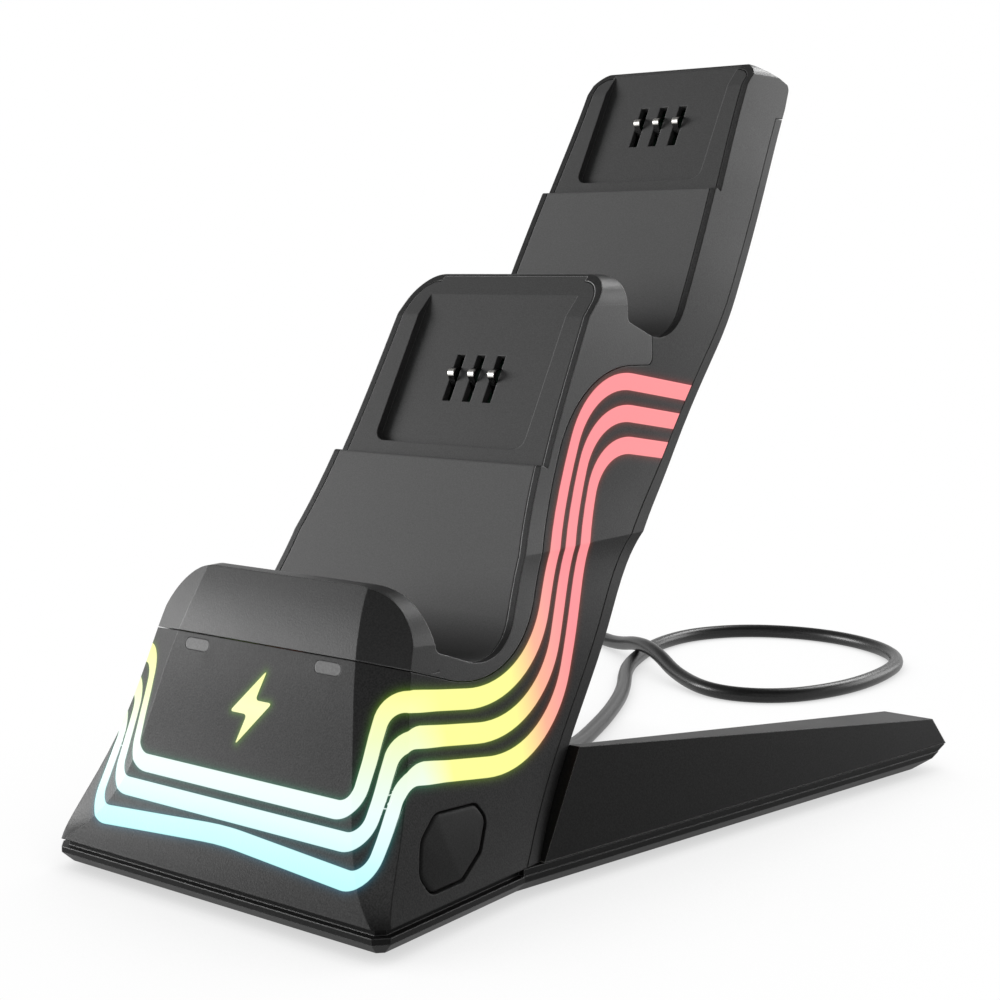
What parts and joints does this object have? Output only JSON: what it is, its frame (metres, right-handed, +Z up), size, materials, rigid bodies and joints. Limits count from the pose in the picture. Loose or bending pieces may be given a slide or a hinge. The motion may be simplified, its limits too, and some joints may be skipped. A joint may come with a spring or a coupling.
{
  "type": "controller charging dock",
  "caption": "Leaning tiered charging dock for game controllers, with sprung contacts, glowing side stripes, splayed legs and a corded plug.",
  "frame": {"origin": "on the table under the middle of the dock's own box, without its cord", "axes": "+Z up, -Y towards the front where the user stands, +X to the dock's right as seen from the front"},
  "size_m": [0.2371, 0.3137, 0.1818],
  "materials": {
    "shell_plastic": "fine-grained graphite moulding",
    "cradle_plastic": "fine-grained graphite moulding",
    "liner_plastic": "smooth satin graphite moulding",
    "cover_plastic": "satin black moulding",
    "tray_plastic": "satin black moulding",
    "leg_plastic": "satin black moulding",
    "button_plastic": "satin black moulding with polished edge",
    "guide_plastic": "milky acrylic light guide",
    "lens_plastic": "smoked clear lens",
    "contact_metal": "plated spring metal",
    "board_laminate": "green circuit board laminate",
    "steel_plate": "plain steel",
    "screw_steel": "blackened steel",
    "foot_rubber": "soft matt rubber",
    "cord_jacket": "satin black jacket",
    "tie_plastic": "black tie",
    "plug_metal": "bright plated shell"
  },
  "bodies": {
    "dock": {"main_shell": "shell_plastic", "lower_cradle": "cradle_plastic", "rear_cover": "cover_plastic", "base_tray": "tray_plastic", "right_leg": "leg_plastic", "left_leg": "leg_plastic", "lower_seat_liner": "liner_plastic", "upper_seat_liner": "liner_plastic", "lower_contact_panel": "cradle_plastic", "upper_contact_panel": "cradle_plastic", "lower_contact_board": "board_laminate", "upper_contact_board": "board_laminate", "front_light_board": "board_laminate", "left_light_board": "board_laminate", "right_light_board": "board_laminate", "main_board": "board_laminate", "ballast_plate": "steel_plate", "button_switch": "board_laminate", "left_status_lens": "lens_plastic", "right_status_lens": "lens_plastic", "rubber_feet": "foot_rubber", "base_screws": "screw_steel", "strain_relief": "cord_jacket", "power_cord": "cord_jacket", "cord_coil": "cord_jacket", "cord_tail": "cord_jacket", "coil_tie": "tie_plastic", "usb_plug": "cord_jacket", "usb_plug_shell": "plug_metal", "light_guide_1": "guide_plastic", "light_guide_2": "guide_plastic", "light_guide_3": "guide_plastic"},
    "lower_contact_1": {"lower_contact_1": "contact_metal"},
    "lower_contact_2": {"lower_contact_2": "contact_metal"},
    "lower_contact_3": {"lower_contact_3": "contact_metal"},
    "upper_contact_1": {"upper_contact_1": "contact_metal"},
    "upper_contact_2": {"upper_contact_2": "contact_metal"},
    "upper_contact_3": {"upper_contact_3": "contact_metal"},
    "mode_button": {"mode_button": "button_plastic"}
  },
  "joints": [
    {"name": "mode_button_press", "type": "slide", "parent": "dock", "child": "mode_button", "axis": [-1, 0, 0], "range_m": [0, 0.0008], "stiffness_N_per_m": 1200},
    {"name": "lower_contact_1_flex", "type": "hinge", "parent": "dock", "child": "lower_contact_1", "pos_m": [-0.0059, -0.00737, 0.09722], "axis": [-1, 0, 0], "range_deg": [0, 10], "stiffness_Nm_per_rad": 0.02},
    {"name": "lower_contact_2_flex", "type": "hinge", "parent": "dock", "child": "lower_contact_2", "pos_m": [0, -0.00737, 0.09722], "axis": [-1, 0, 0], "range_deg": [0, 10], "stiffness_Nm_per_rad": 0.02},
    {"name": "lower_contact_3_flex", "type": "hinge", "parent": "dock", "child": "lower_contact_3", "pos_m": [0.0059, -0.00737, 0.09722], "axis": [-1, 0, 0], "range_deg": [0, 10], "stiffness_Nm_per_rad": 0.02},
    {"name": "upper_contact_1_flex", "type": "hinge", "parent": "dock", "child": "upper_contact_1", "pos_m": [-0.0059, 0.07233, 0.15992], "axis": [-1, 0, 0], "range_deg": [0, 10], "stiffness_Nm_per_rad": 0.02},
    {"name": "upper_contact_2_flex", "type": "hinge", "parent": "dock", "child": "upper_contact_2", "pos_m": [0, 0.07233, 0.15992], "axis": [-1, 0, 0], "range_deg": [0, 10], "stiffness_Nm_per_rad": 0.02},
    {"name": "upper_contact_3_flex", "type": "hinge", "parent": "dock", "child": "upper_contact_3", "pos_m": [0.0059, 0.07233, 0.15992], "axis": [-1, 0, 0], "range_deg": [0, 10], "stiffness_Nm_per_rad": 0.02}
  ]
}
